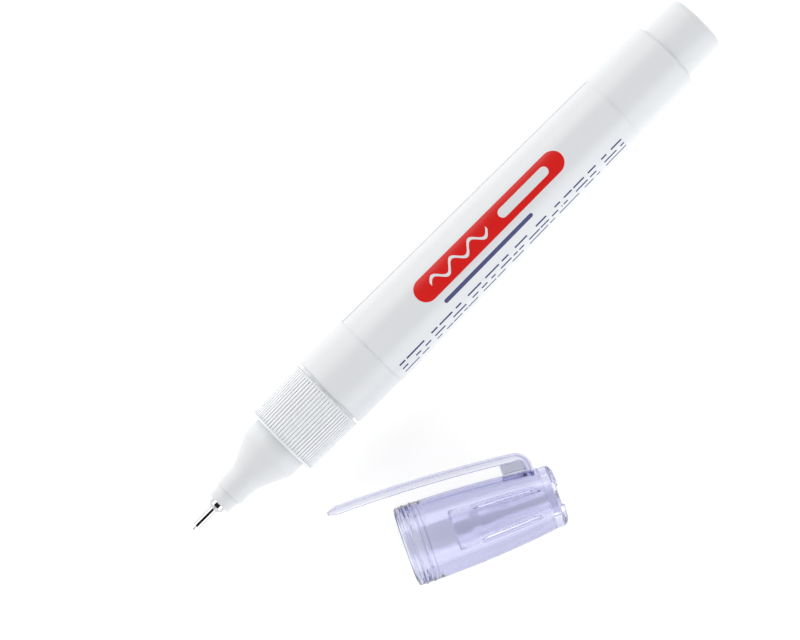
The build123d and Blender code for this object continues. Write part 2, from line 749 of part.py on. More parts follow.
with BuildPart() as cap_clip:
    with BuildSketch(Plane.XY) as flange_profile:
        with BuildLine():
            Line(arm_point(-CLIP_OVERHANG, CLIP_RIB_THICKNESS), arm_point(x_chisel, clip_thickness))
            ThreePointArc(
                arm_point(x_chisel, clip_thickness),
                arm_point(x_bow, clip_thickness),
                arm_point(x_back, clip_thickness),
            )
            Polyline(
                arm_point(x_back, clip_thickness),
                (x_back, hinge_y),
                (x_foot, hinge_y),
                arm_point(x_foot, CLIP_RIB_THICKNESS),
            )
            ThreePointArc(
                arm_point(x_foot, CLIP_RIB_THICKNESS),
                arm_point(x_bow, CLIP_RIB_THICKNESS),
                arm_point(-CLIP_OVERHANG, CLIP_RIB_THICKNESS),
            )
        make_face()
        fillet(corner(flange_profile, *arm_point(x_back, clip_thickness)), CLIP_BACK_ROUND)
        with Locations((hinge_x, hinge_y)):
            Circle(KNUCKLE_R)
    extrude(amount=CLIP_ROOT_WIDTH / 2, both=True)
    with BuildSketch(Plane.XY):
        with BuildLine():
            Line(arm_point(-CLIP_OVERHANG, CLIP_RIB_THICKNESS), arm_point(x_chisel, 0))
            ThreePointArc(arm_point(x_chisel, 0), arm_point(x_bow, 0), arm_point(x_foot, 0))
            Line(arm_point(x_foot, 0), arm_point(x_foot, CLIP_RIB_THICKNESS))
            ThreePointArc(
                arm_point(x_foot, CLIP_RIB_THICKNESS),
                arm_point(x_bow, CLIP_RIB_THICKNESS),
                arm_point(-CLIP_OVERHANG, CLIP_RIB_THICKNESS),
            )
        make_face()
    extrude(amount=CLIP_RIB_WIDTH / 2, both=True)
    with BuildSketch(Plane.XY):
        with BuildLine():
            Polyline(
                arm_point(x_bridge, CLIP_RIB_THICKNESS),
                arm_point(x_foot, CLIP_RIB_THICKNESS),
                (x_foot, pad_top + BRIDGE_GAP),
                (x_pad_clear, pad_top + BRIDGE_GAP),
                (x_pad_clear, cap_radius(x_pad_clear) + BRIDGE_GAP),
                (x_bridge, cap_radius(x_bridge) + BRIDGE_GAP),
                close=True,
            )
        make_face()
    extrude(amount=BRIDGE_WIDTH / 2, both=True)
    with BuildSketch(Plane.XZ) as clip_plan:
        with BuildLine():
            Polyline(
                (-CLIP_OVERHANG, CLIP_FREE_WIDTH / 2),
                (x_back, CLIP_ROOT_WIDTH / 2),
                (x_back, -CLIP_ROOT_WIDTH / 2),
                (-CLIP_OVERHANG, -CLIP_FREE_WIDTH / 2),
                close=True,
            )
        make_face()
        fillet(clip_plan.vertices().group_by(Axis.X)[0], CLIP_END_ROUND)
    extrude(amount=-2 * arm_end[1], mode=Mode.INTERSECT)
    arm_top = cap_clip.faces().filter_by(GeomType.CYLINDER).sort_by(SortBy.AREA)[-1]
    fillet(arm_top.edges().sort_by(SortBy.LENGTH)[-2:], CLIP_EDGE_ROUND)
cap_clip.part.label = "cap_clip"

# The pen lies on the length of its label, and the cap on its rear bead and its bulge
pen_pieces = [
    barrel, label_sleeve, tail_plug, mixing_ball, collar, neck_seal, nozzle, tip_ferrule,
    needle_tube, valve_pin, valve_plunger, valve_spring, spring_retainer,
]
cap_pieces = [cap_shell, cap_inner_sleeve, cap_crown, cap_clip]
pen_tilt = degrees(atan2(label_front_r - label_rear_r, LABEL_LENGTH))
cap_tilt = degrees(atan2(BEAD_PROUD + CAP_BULGE_DROP, CAP_BULGE_PLACE - BEAD_REAR_PLACE))


def boxes(pieces, place):
    """The boxes of the pieces at a place."""
    return [piece.part.moved(place).bounding_box() for piece in pieces]


def on_the_ground(pieces, place):
    """The place, raised or lowered until the lowest piece touches the ground."""
    return Pos(0, 0, -min(box.min.Z for box in boxes(pieces, place))) * place


pen_place = on_the_ground(pen_pieces, Rotation(0, pen_tilt, 0))
cap_heading = Pos(CAP_ALONG, CAP_ASIDE, 0) * Rotation(0, 0, CAP_TURN_ANGLE)
cap_place = on_the_ground(cap_pieces, cap_heading * Rotation(0, cap_tilt, 0))

# The origin is on the ground, under the middle of the pen and cap together
all_boxes = boxes(pen_pieces, pen_place) + boxes(cap_pieces, cap_place)
middle_x = (min(box.min.X for box in all_boxes) + max(box.max.X for box in all_boxes)) / 2
middle_y = (min(box.min.Y for box in all_boxes) + max(box.max.Y for box in all_boxes)) / 2
to_origin = Pos(-middle_x, -middle_y, 0)

os.makedirs("parts", exist_ok=True)
for pieces, place in ((pen_pieces, pen_place), (cap_pieces, cap_place)):
    for piece in pieces:
        laid = piece.part.moved(to_origin * place)
        export_step(laid, f"parts/{piece.part.label}.step")
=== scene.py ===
"""Dresses the correction pen and its cap, and sets them on a pale floor in soft studio light."""
import json
import math

import bmesh
import bpy
from mathutils import Matrix, Vector


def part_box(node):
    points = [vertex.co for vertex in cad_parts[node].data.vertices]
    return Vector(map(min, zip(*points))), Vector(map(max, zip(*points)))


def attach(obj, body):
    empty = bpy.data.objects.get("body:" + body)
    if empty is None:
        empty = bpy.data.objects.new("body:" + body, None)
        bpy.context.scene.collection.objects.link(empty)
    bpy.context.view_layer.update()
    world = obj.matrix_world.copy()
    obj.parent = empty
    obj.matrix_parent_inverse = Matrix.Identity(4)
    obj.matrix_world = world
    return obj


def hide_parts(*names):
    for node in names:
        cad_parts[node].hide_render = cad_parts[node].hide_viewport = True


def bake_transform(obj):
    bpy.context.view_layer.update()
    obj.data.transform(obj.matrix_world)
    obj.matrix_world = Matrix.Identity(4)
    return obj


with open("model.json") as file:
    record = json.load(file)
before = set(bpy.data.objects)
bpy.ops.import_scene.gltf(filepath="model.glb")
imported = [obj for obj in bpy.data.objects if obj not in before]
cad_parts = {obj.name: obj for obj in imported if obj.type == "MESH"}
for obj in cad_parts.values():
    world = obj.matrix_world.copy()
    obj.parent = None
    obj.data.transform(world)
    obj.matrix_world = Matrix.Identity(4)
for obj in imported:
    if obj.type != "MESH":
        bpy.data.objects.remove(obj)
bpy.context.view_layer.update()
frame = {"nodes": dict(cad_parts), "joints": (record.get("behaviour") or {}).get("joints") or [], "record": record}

nodes = frame["nodes"]
mounts = {mount["name"]: mount for mount in frame["record"]["mounts"]}
joints = {joint["name"]: joint for joint in frame["joints"]}

MM = 0.001

# The pen's line, from its needle point to its tail
tail_end = Vector(mounts["tail_end"]["pos_m"])
pen_axis = Vector(mounts["tail_end"]["axis"]).normalized()
pen_length = (tail_end.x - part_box("valve_pin")[0].x) / pen_axis.x
needle_point = tail_end - pen_axis * pen_length
pen_aside = Vector((0, 1, 0))
pen_up = pen_axis.cross(pen_aside)

# The cap's line, from its mouth to its crown, and aside to its clip. The mouth's mount is in the
# middle of the land inside it.
CAP_LAND_MIDDLE = 1.8 * MM
cap_axis = -Vector(mounts["cap_mouth"]["axis"]).normalized()
cap_up = -Vector(joints["clip_flex"]["axis"]).normalized()
cap_aside = cap_up.cross(cap_axis)
cap_mouth = Vector(mounts["cap_mouth"]["pos_m"]) - cap_axis * CAP_LAND_MIDDLE


def place_from(origin, along, aside, up):
    """Turns a point given along, aside and above a line into a point of the row's frame."""
    return Matrix.Translation(origin) @ Matrix((along, aside, up)).transposed().to_4x4()


pen_place = place_from(needle_point, pen_axis, pen_aside, pen_up)
cap_place = place_from(cap_mouth, cap_axis, cap_aside, cap_up)


def in_scene(name, data):
    """A new object of the scene that holds this mesh, light or camera."""
    made = bpy.data.objects.new(name, data)
    bpy.context.scene.collection.objects.link(made)
    return made


# Camera, worked out from where the pen's two ends lie in the picture

PICTURE_WIDTH = 800
PICTURE_HEIGHT = 640
NEEDLE_PIXEL = Vector((192.9, 529.6))
TAIL_PIXEL = Vector((699.1, 20.4))
CAMERA_HEIGHT = 0.85
CAMERA_NEAR = 0.01
SENSOR_WIDTH_MM = 36.0


def add_camera():
    """Looks straight down, turned and moved so that the pen lies where it does in the picture."""
    run = TAIL_PIXEL - NEEDLE_PIXEL
    turn = math.atan2(-run.y, run.x)
    pixels_per_metre = run.length / (pen_length * pen_axis.x)
    to_centre = Vector((PICTURE_WIDTH / 2, PICTURE_HEIGHT / 2)) - NEEDLE_PIXEL
    reach = Vector((to_centre.x, -to_centre.y, 0)) / pixels_per_metre
    reach.rotate(Matrix.Rotation(-turn, 3, "Z"))
    camera = in_scene("camera", bpy.data.cameras.new("camera"))
    camera.location = needle_point + reach + Vector((0, 0, CAMERA_HEIGHT))
    camera.rotation_euler = (0, 0, -turn)
    camera.data.sensor_width = SENSOR_WIDTH_MM
    camera.data.lens = pixels_per_metre * CAMERA_HEIGHT / PICTURE_WIDTH * SENSOR_WIDTH_MM
    camera.data.clip_start = CAMERA_NEAR
    bpy.context.scene.camera = camera


add_camera()


class Socket:
    """A node tree's output socket.

    Sums on values add Math nodes, and node() adds any other node.
    """

    def __init__(self, tree, socket=None):
        self.tree = tree
        self.socket = socket

    def node(self, kind, settings=None, inputs=None, output=0):
        made = self.tree.nodes.new(kind)
        for name, value in (settings or {}).items():
            if name == "stops":
                ramp = made.color_ramp
                while len(ramp.elements) < len(value):
                    ramp.elements.new(1.0)
                for element, (place, colour) in zip(ramp.elements, value):
                    element.position = place
                    element.color = colour
            else:
                setattr(made, name, value)
        for key, value in (inputs or {}).items():
            if isinstance(value, Socket):
                self.tree.links.new(value.socket, made.inputs[key])
            else:
                made.inputs[key].default_value = value
        return Socket(self.tree, made.outputs[output])

    def math(self, operation, *values):
        return self.node("ShaderNodeMath", {"operation": operation}, dict(enumerate(values)))

    def of(self, operation, *others):
        """What a Math node gives for this value, and for any others that it takes."""
        return self.math(operation, self, *others)

    def __add__(self, other):
        return self.math("ADD", self, other)

    def __radd__(self, other):
        return self.math("ADD", other, self)

    def __sub__(self, other):
        return self.math("SUBTRACT", self, other)

    def __rsub__(self, other):
        return self.math("SUBTRACT", other, self)

    def __mul__(self, other):
        return self.math("MULTIPLY", self, other)

    def __rmul__(self, other):
        return self.math("MULTIPLY", other, self)

    def __truediv__(self, other):
        return self.math("DIVIDE", self, other)

    def __rtruediv__(self, other):
        return self.math("DIVIDE", other, self)

    def __lt__(self, other):
        return self.math("LESS_THAN", self, other)

    def __gt__(self, other):
        return self.math("GREATER_THAN", self, other)

    def __abs__(self):
        return self.of("ABSOLUTE")

    def clamped(self):
        return self.node("ShaderNodeClamp", {}, {"Value": self})

    def inside(self, edge):
        """Marks where this depth is above zero, with a soft edge of this width."""
        return (self / edge + 0.5).clamped()

    def dot(self, direction):
        return self.node("ShaderNodeVectorMath", {"operation": "DOT_PRODUCT"},
                         {0: self, 1: direction}, "Value")

    def moved(self, offset):
        return self.node("ShaderNodeVectorMath", {"operation": "SUBTRACT"}, {0: self, 1: offset})

    def noise(self, scale, detail=2.0):
        return self.node("ShaderNodeTexNoise", {"noise_dimensions": "3D"},
                         {"Vector": self, "Scale": scale, "Detail": detail})

    def tint(self, low, high):
        return self.node("ShaderNodeMix", {"data_type": "RGBA"},
                         {"Factor": self, 6: low, 7: high}, 2)

    def bump(self, depth, strength):
        return self.node("ShaderNodeBump", {},
                         {"Height": self, "Distance": depth, "Strength": strength})


class Finish:
    """A material on Object coordinates, with its shader's own sockets set by name."""

    def __init__(self, name):
        self.material = bpy.data.materials.new(name)
        self.material.use_nodes = True
        self.tree = self.material.node_tree
        self.shader = self.tree.nodes["Principled BSDF"]
        self.place = Socket(self.tree).node("ShaderNodeTexCoord", output="Object")

    def set(self, **values):
        for name, value in values.items():
            target = self.shader.inputs[name.replace("_", " ")]
            if isinstance(value, Socket):
                self.tree.links.new(value.socket, target)
            else:
                target.default_value = value
        return self

    def on_pen(self):
        """How far a point is along the pen from its needle point, aside from its line and above."""
        offset = self.place.moved(needle_point)
        return offset.dot(pen_axis), offset.dot(pen_aside), offset.dot(pen_up)

    def wear(self, *names):
        for name in names:
            slots = nodes[name].data.materials
            slots.clear()
            slots.append(self.material)
        return self


# White finishes of the pen

WHITE_COOLNESS = 1.03
PLASTIC_IOR = 1.49
PLASTIC_SPECULAR = 0.4
CLOUD_SCALE = 160.0
CLOUD_DETAIL = 3.0
CLOUD_SHADE = 0.01
CLOUD_GLOSS = 0.06
SKIN_SCALE = 2600.0
SKIN_DEPTH = 0.02 * MM
SKIN_STRENGTH = 0.35
NECK_R = 7.05 * MM
NECK_EDGE = 0.1 * MM
NECK_END = 36.0 * MM


def cool_white(level):
    return (level, level * (1 + WHITE_COOLNESS) / 2, level * WHITE_COOLNESS, 1)


def moulded_white(name, level, roughness):
    """White moulded plastic with a fine orange-peel skin and faint cloudiness."""
    finish = Finish(name)
    cloud = finish.place.noise(CLOUD_SCALE, CLOUD_DETAIL)
    skin = finish.place.noise(SKIN_SCALE)
    finish.white = cloud.tint(cool_white(level * (1 - CLOUD_SHADE)),
                              cool_white(level * (1 + CLOUD_SHADE)))
    return finish.set(
        Base_Color=finish.white,
        Roughness=roughness - CLOUD_GLOSS + cloud * (2 * CLOUD_GLOSS),
        Normal=skin.bump(SKIN_DEPTH, SKIN_STRENGTH),
        IOR=PLASTIC_IOR,
        Specular_IOR_Level=PLASTIC_SPECULAR,
    )


def barrel_white(name, level, painted_light_level, roughness):
    """The barrel's white, with a paler one painted on the thin neck behind the collar as painted light that lifts
    the shade in the gap there.
    """
    finish = moulded_white(name, level, roughness)
    along, aside, above = finish.on_pen()
    out = (aside * aside + above * above).of("SQRT")
    # Painted light: the neck's paler white lifts the shade that falls in the gap behind the collar.
    neck = (NECK_R - out).inside(NECK_EDGE) * (along < NECK_END)
    return finish.set(Base_Color=neck.tint(finish.white, cool_white(painted_light_level)))


moulded_white("moulded white", level=0.66, roughness=0.42).wear("nozzle", "tail_plug")
# The collar's white is a lighter copy of the moulded white: painted light that offsets the shade in its grooves
# and between its ribs.
collar_painted_light_white = moulded_white("collar white", level=0.77, roughness=0.42).wear("collar")
barrel_white("barrel white", level=0.67, painted_light_level=0.92, roughness=0.36).wear("barrel")
moulded_white("grey seal rubber", level=0.12, roughness=0.7).wear("neck_seal")
moulded_white("valve plastic", level=0.5, roughness=0.45).wear("valve_plunger", "spring_retainer")


# Print on the label film: places along the pen from its needle point, and round it from its top,
# below zero on the cap's side

PRINT_RED = (0.62, 0.012, 0.010, 1)
PRINT_NAVY = (0.012, 0.016, 0.13, 1)
PRINT_EDGE = 0.03 * MM
FILM_RADIUS = 7.5 * MM
PANEL_START = 57.0 * MM
PANEL_END = 93.0 * MM
PANEL_PLACE = 0.7 * MM
PANEL_HALF = 2.3 * MM
WAVE_START = 60.5 * MM
WAVE_END = 74.5 * MM
WAVE_LENGTH = 4.6 * MM
WAVE_HEIGHT = 0.9 * MM
WAVE_HALF = 0.22 * MM
WAVE_SLANT = 0.7
STROKE_START = 77.5 * MM
STROKE_END = 89.5 * MM
STROKE_HALF = 0.95 * MM
RULE_START = 60.0 * MM
RULE_END = 82.0 * MM
RULE_PLACE = -3.4 * MM
RULE_HALF = 0.42 * MM
DASH_START = 46.5 * MM
DASH_END = 102.5 * MM
DASH_PLACES = (-6.0 * MM, -7.3 * MM, -8.6 * MM)
DASH_HALF = 0.2 * MM
DASH_SCALE = 420.0
DASH_DETAIL = 1.0
DASH_BREAK = 0.46


def printed_film(name, level, roughness):
    """White film with a red panel, a white wave and stroke in it, and a navy rule and dashes."""
    finish = moulded_white(name, level, roughness)
    along, aside, above = finish.on_pen()
    around = aside.of("ARCTAN2", above) * FILM_RADIUS

    def bar(start, end, middle, half):
        """Marks a bar along the pen, with round ends."""
        past = abs(along - (start + end) / 2) - ((end - start) / 2 - half)
        past = past.of("MAXIMUM", 0.0)
        off = around - middle
        return (half - (past * past + off * off).of("SQRT")).inside(PRINT_EDGE)

    def dashes(row, middle):
        """Marks a line along the pen, broken at places that differ from row to row."""
        beat = along.node("ShaderNodeTexNoise", {"noise_dimensions": "1D"},
                          {"W": along + row, "Scale": DASH_SCALE, "Detail": DASH_DETAIL})
        line = (DASH_HALF - abs(around - middle)).inside(PRINT_EDGE) * (beat > DASH_BREAK)
        return line * (along > DASH_START) * (along < DASH_END)

    panel = bar(PANEL_START, PANEL_END, PANEL_PLACE, PANEL_HALF)
    stroke = bar(STROKE_START, STROKE_END, PANEL_PLACE, STROKE_HALF)
    rule = bar(RULE_START, RULE_END, RULE_PLACE, RULE_HALF)
    swing = (along - WAVE_START) * (2 * math.pi / WAVE_LENGTH)
    crest = PANEL_PLACE + swing.of("SINE") * WAVE_HEIGHT
    wave = (WAVE_HALF - abs(around - crest) * WAVE_SLANT).inside(PRINT_EDGE)
    wave = wave * (along > WAVE_START) * (along < WAVE_END)
    red = panel * (1 - wave) * (1 - stroke)
    navy = rule + sum(dashes(row, middle) for row, middle in enumerate(DASH_PLACES))
    navy = navy.of("MINIMUM", 1.0)
    return finish.set(Base_Color=navy.tint(red.tint(finish.white, PRINT_RED), PRINT_NAVY))


printed_film("label film", level=0.68, roughness=0.3).wear("label_sleeve")


# Steel of the pen

STEEL_DARK = (0.58, 0.58, 0.59, 1)
STEEL_LIGHT = (0.66, 0.66, 0.67, 1)
HAZE_SCALE = 900.0
HAZE_DETAIL = 3.0
HAZE_GLOSS = 0.03
MARK_DEPTH = 0.0015 * MM
MARK_STRENGTH = 0.3


def turned_steel(name, roughness, marks):
    """Bright steel with fine turning marks round the pen's line, this many radians to the metre."""
    finish = Finish(name)
    along = finish.on_pen()[0]
    haze = finish.place.noise(HAZE_SCALE, HAZE_DETAIL)
    return finish.set(
        Base_Color=haze.tint(STEEL_DARK, STEEL_LIGHT),
        Metallic=1.0,
        Roughness=roughness + haze * HAZE_GLOSS,
        Normal=(along * marks).of("SINE").bump(MARK_DEPTH, MARK_STRENGTH),
    )


needle_steel = turned_steel("needle steel", roughness=0.01, marks=42000.0)
needle_steel.wear("needle_tube", "tip_ferrule", "valve_pin")
spring_steel = turned_steel("spring steel", roughness=0.2, marks=9000.0).wear("valve_spring")
turned_steel("ball steel", roughness=0.1, marks=9000.0).wear("mixing_ball")


# See-through finishes of the cap

CAP_VIOLET = (0.41, 0.42, 0.74, 1)
# Painted shade: the web's body is a greyer violet than the cap's, so it reads dark like shade seen through it.
WEB_PAINTED_SHADE_VIOLET = (0.60, 0.61, 0.72, 1)
# Painted shade colour, for dark lines at the clip's edges and rings round the cap's mouth band
PAINTED_SHADE_VIOLET = (0.44, 0.44, 0.68, 1)
CLEAR_SKIN = (1.0, 1.0, 1.0, 1)
CLOUDED_SKIN = (0.97, 0.97, 1.0, 1)
CLEAR_CLOUD_SCALE = 220.0
CLEAR_CLOUD_GLOSS = 0.03
FLOW_SCALE = 1500.0
FLOW_DEPTH = 0.004 * MM
FLOW_STRENGTH = 0.2
# The clip's attribute of painted shade along its edges, and painted shade rings along the cap's mouth band
CLIP_PAINTED_SHADE = "edge_shade"
SHADE_RING_PLACES = (3.15 * MM, 4.0 * MM)
SHADE_RING_HALF = 0.24 * MM
SHADE_RING_STRENGTH = 0.6


def clear_violet(name, roughness, density, colour=CAP_VIOLET, edges=None, rings=()):
    """See-through violet plastic: clear skin over a body that soaks up red and green.

    The skin has painted shade along edges that an attribute marks, and painted shade rings at places along the
    cap.
    """
    finish = Finish(name)
    cloud = finish.place.noise(CLEAR_CLOUD_SCALE)
    flow = finish.place.noise(FLOW_SCALE)
    skin = cloud.tint(CLOUDED_SKIN, CLEAR_SKIN)
    if edges:
        # Painted shade: the skin darkens along the edges that the attribute marks
        edge = finish.place.node("ShaderNodeAttribute", {"attribute_name": edges}, output="Fac")
        skin = edge.tint(skin, PAINTED_SHADE_VIOLET)
    # Painted shade: darker rings in the skin at places along the cap's mouth band.
    for ring in rings:
        off = abs(finish.place.moved(cap_mouth).dot(cap_axis) - ring)
        skin = ((1 - off / SHADE_RING_HALF).clamped() * SHADE_RING_STRENGTH).tint(skin, PAINTED_SHADE_VIOLET)
    finish.set(
        Base_Color=skin,
        Roughness=roughness + cloud * CLEAR_CLOUD_GLOSS,
        Transmission_Weight=1.0,
        IOR=PLASTIC_IOR,
        Normal=flow.bump(FLOW_DEPTH, FLOW_STRENGTH),
    )
    body = finish.place.node("ShaderNodeVolumeAbsorption", {},
                             {"Color": colour, "Density": density}, "Volume")
    output = finish.tree.nodes["Material Output"]
    finish.tree.links.new(body.socket, output.inputs["Volume"])
    return finish


# The shell's skin has painted shade rings in its mouth band.
shell_violet = clear_violet("shell violet", roughness=0.03, density=400.0, rings=SHADE_RING_PLACES)
crown_violet = clear_violet("crown violet", roughness=0.04, density=110.0)
sleeve_violet = clear_violet("sleeve violet", roughness=0.05, density=45.0)
# The clip's skin has painted shade along its edges and over its rib
clip_violet = clear_violet("clip violet", roughness=0.03, density=95.0, edges=CLIP_PAINTED_SHADE)
# Painted shade: the web's body is greyer and denser than the cap's, so it reads dark like shade seen through it.
web_shaded_violet = clear_violet("web violet", roughness=0.08, density=540.0, colour=WEB_PAINTED_SHADE_VIOLET)


# Shapes

ROUND_STEPS = 5
MERGE_DISTANCE = 0.0001 * MM
CREASE_ANGLE = math.radians(38)


def spaced(start, end, step):
    """Evenly spaced numbers from start to end, about a step apart."""
    count = max(1, round(abs(end - start) / step))
    return [start + (end - start) * index / count for index in range(count + 1)]


def bell(off, spread, power=2):
    """A bump of height 1 that fades as off grows past the spread, flatter at a higher power."""
    return math.exp(-(off / spread) ** power)


def arc_through(first, middle, last):
    """The height of the arc through three points, as a function of the place along it."""
    (ax, ay), (bx, by), (cx, cy) = first, middle, last
    d = 2 * (ax * (by - cy) + bx * (cy - ay) + cx * (ay - by))
    a2, b2, c2 = ax * ax + ay * ay, bx * bx + by * by, cx * cx + cy * cy
    x = (a2 * (by - cy) + b2 * (cy - ay) + c2 * (ay - by)) / d
    y = (a2 * (cx - bx) + b2 * (ax - cx) + c2 * (bx - ax)) / d
    radius = math.hypot(ax - x, ay - y)
    side = 1 if by > y else -1
    return lambda place: y + side * math.sqrt(radius * radius - (place - x) ** 2)


def rounded(corners):
    """A closed outline from corners that each give their place and the radius that rounds them."""
    outline = []
    for index, (x, y, radius) in enumerate(corners):
        here = Vector((x, y))
        if radius == 0:
            outline.append(here)
            continue
        before = (Vector(corners[index - 1][:2]) - here).normalized()
        after = (Vector(corners[(index + 1) % len(corners)][:2]) - here).normalized()
        half = before.angle(after) / 2
        centre = here + (before + after).normalized() * radius / math.sin(half)
        first = here + before * radius / math.tan(half) - centre
        last = here + after * radius / math.tan(half) - centre
        sweep = math.atan2(first.cross(last), first.dot(last))
        for step in range(ROUND_STEPS + 1):
            outline.append(centre + Matrix.Rotation(sweep * step / ROUND_STEPS, 2) @ first)
    return outline


def rounded_mm(corners):
    """The same from corners in millimetres."""
    return [point * MM for point in rounded(corners)]


def finished_mesh(name, shape):
    """A closed smooth mesh with its faces outwards and its hard edges kept."""
    bmesh.ops.remove_doubles(shape, verts=shape.verts, dist=MERGE_DISTANCE)
    loose = [edge for edge in shape.edges if not edge.link_faces]
    bmesh.ops.delete(shape, geom=loose, context="EDGES")
    bmesh.ops.recalc_face_normals(shape, faces=shape.faces)
    for face in shape.faces:
        face.smooth = True
    mesh = bpy.data.meshes.new(name)
    shape.to_mesh(mesh)
    shape.free()
    mesh.set_sharp_from_angle(angle=CREASE_ANGLE)
    return mesh


def skinned(name, place, rings, round_again=False):
    """A mesh over rings of points, closed into a loop or by a face at each end."""
    shape = bmesh.new()
    loops = [[shape.verts.new(place @ Vector(point)) for point in ring] for ring in rings]
    following = loops[1:] + loops[:1] if round_again else loops[1:]
    for first, second in zip(loops, following):
        for index in range(len(first)):
            shape.faces.new((first[index - 1], first[index], second[index], second[index - 1]))
    if not round_again:
        shape.faces.new(loops[0])
        shape.faces.new(loops[-1])
    return finished_mesh(name, shape)


def turned(name, place, outline, steps, waver=None):
    """A solid turned round a line from an outline of places along it and radii.

    Angles start at the side that the line's place calls aside, and waver moves points by them.
    """
    rings = []
    for step in range(steps):
        angle = 2 * math.pi * step / steps
        ring = []
        for along, radius in outline:
            if waver:
                along, radius = waver(along, radius, angle)
            ring.append((along, radius * math.cos(angle), radius * math.sin(angle)))
        rings.append(ring)
    return skinned(name, place, rings, round_again=True)


def cut(mesh, cutters):
    """The mesh with the cutters taken out of it."""
    name = mesh.name
    body = in_scene(name, mesh)
    tools = [in_scene(cutter.name, cutter) for cutter in cutters]
    for tool in tools:
        modifier = body.modifiers.new(tool.name, "BOOLEAN")
        modifier.operation = "DIFFERENCE"
        modifier.solver = "EXACT"
        modifier.object = tool
    graph = bpy.context.evaluated_depsgraph_get()
    whole = bmesh.new()
    whole.from_mesh(body.evaluated_get(graph).to_mesh())
    for done in [body] + tools:
        bpy.data.meshes.remove(done.data)
    return finished_mesh(name, whole)


def add_piece(mesh, finish, body, slot, *stands_for):
    """Puts a finished mesh in the scene with its finish, in place of the parts that it stands for, on the body
    that carries it if one is given.
    """
    piece = in_scene(mesh.name, mesh)
    mesh.materials.append(finish.material)
    if stands_for:
        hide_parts(*stands_for)
    if body:
        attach(piece, body)
    return piece


# Valve spring: the coil, a smoothed copy of its part

def spring_mesh():
    coil = bmesh.new()
    coil.from_mesh(nodes["valve_spring"].data)
    return finished_mesh("valve_spring_coil", coil)


spring = add_piece(spring_mesh(), spring_steel, None, "spring_steel", "valve_spring")
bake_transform(spring)


# Cap shell: beaded mouth band, bulging side and long ribs inside it. Places are along the cap from
# its mouth, here and below, and turns are in degrees round it from the clip's side.

CAP_MOUTH_R = 7.25 * MM
CAP_MOUTH_ROUND = 0.45 * MM
CAP_MOUTH_WALL = 0.7 * MM
CAP_LIP_ROUND = 0.2 * MM
CAP_SNAP_PLACE = 1.9 * MM
CAP_SNAP_HEIGHT = 0.25 * MM
CAP_SNAP_SPREAD = 0.7 * MM
CAP_STEP_PLACE = 4.2 * MM
CAP_STEP_SPREAD = 0.5 * MM
CAP_BAND_END = 4.4 * MM
CAP_WALL = 1.0 * MM
CAP_BULGE = (13.9 * MM, 6.91 * MM)
CAP_SHELL_END = 26.5 * MM
CAP_END_R = 5.7 * MM
BEAD_PLACES = (1.6 * MM, 3.05 * MM)
BEAD_HEIGHT = 0.18 * MM
BEAD_SPREAD = 0.22 * MM
BAND_LINE_DEPTH = 0.03 * MM
BAND_LINE_SPREAD = 0.16 * MM
INNER_RIB_TURNS = (60, 120, 240, 300)
INNER_RIB_START = 12.7 * MM
INNER_RIB_END = 24.7 * MM
INNER_RIB_FADE = 1.5 * MM
INNER_RIB_HEIGHT = 0.4 * MM
INNER_RIB_HALF = 0.32 * MM
INNER_RIB_FLATNESS = 4
SHELL_STEPS = 360
SHELL_ROUND_STEP = math.pi / 12
OUTSIDE_RUNS = ((CAP_MOUTH_ROUND, 5.0 * MM, 0.08 * MM), (5.5 * MM, CAP_SHELL_END, 0.5 * MM))
INSIDE_RUNS = ((CAP_SHELL_END, 8.0 * MM, 0.3 * MM), (7.9 * MM, CAP_LIP_ROUND, 0.1 * MM))

cap_side = arc_through((CAP_BAND_END, CAP_MOUTH_R), CAP_BULGE, (CAP_SHELL_END, CAP_END_R))


def cap_radius(along):
    return cap_side(along) if along > CAP_BAND_END else CAP_MOUTH_R


def cap_outside(along):
    """The shell's outer radius, with the beads and the line behind them."""
    radius = cap_radius(along)
    for place in BEAD_PLACES:
        radius += BEAD_HEIGHT * bell(along - place, BEAD_SPREAD)
    return radius - BAND_LINE_DEPTH * bell(along - CAP_BAND_END, BAND_LINE_SPREAD)


def cap_inside(along):
    """The shell's inner radius, with a thinner wall at the mouth and the round snap bead in it."""
    behind = 1 / (1 + math.exp((CAP_STEP_PLACE - along) / CAP_STEP_SPREAD))
    wall = CAP_MOUTH_WALL + (CAP_WALL - CAP_MOUTH_WALL) * behind
    bead = CAP_SNAP_HEIGHT * bell(along - CAP_SNAP_PLACE, CAP_SNAP_SPREAD)
    return cap_radius(along) - wall - bead


def shell_run(runs, radius):
    """Points of the outline over runs that each give a start, an end and a spacing."""
    return [(along, radius(along)) for run in runs for along in spaced(*run)]


def shell_outline():
    """Round the mouth, along the outside to the crown, and back inside."""
    turns = spaced(0, math.pi / 2, SHELL_ROUND_STEP)
    quarter = [(1 - math.cos(turn), 1 - math.sin(turn)) for turn in turns]
    mouth = [(CAP_MOUTH_ROUND * rise, CAP_MOUTH_R - CAP_MOUTH_ROUND * fall)
             for rise, fall in quarter]
    lip = [(CAP_LIP_ROUND * fall, cap_inside(0) + CAP_LIP_ROUND * rise)
           for rise, fall in quarter]
    outside = shell_run(OUTSIDE_RUNS, cap_outside)
    inside = shell_run(INSIDE_RUNS, cap_inside)
    return mouth[:-1] + outside + inside[:-1] + lip


def inner_ribs(along, radius, angle):
    """Moves the shell's inside inwards where a rib runs along it."""
    on_inside = radius < cap_radius(along) - CAP_WALL / 2
    if on_inside and INNER_RIB_START < along < INNER_RIB_END:
        off = min(abs(angle - math.radians(turn)) for turn in INNER_RIB_TURNS) * radius
        from_end = min(along - INNER_RIB_START, INNER_RIB_END - along)
        height = INNER_RIB_HEIGHT * min(1, from_end / INNER_RIB_FADE)
        radius -= height * bell(off, INNER_RIB_HALF, INNER_RIB_FLATNESS)
    return along, radius


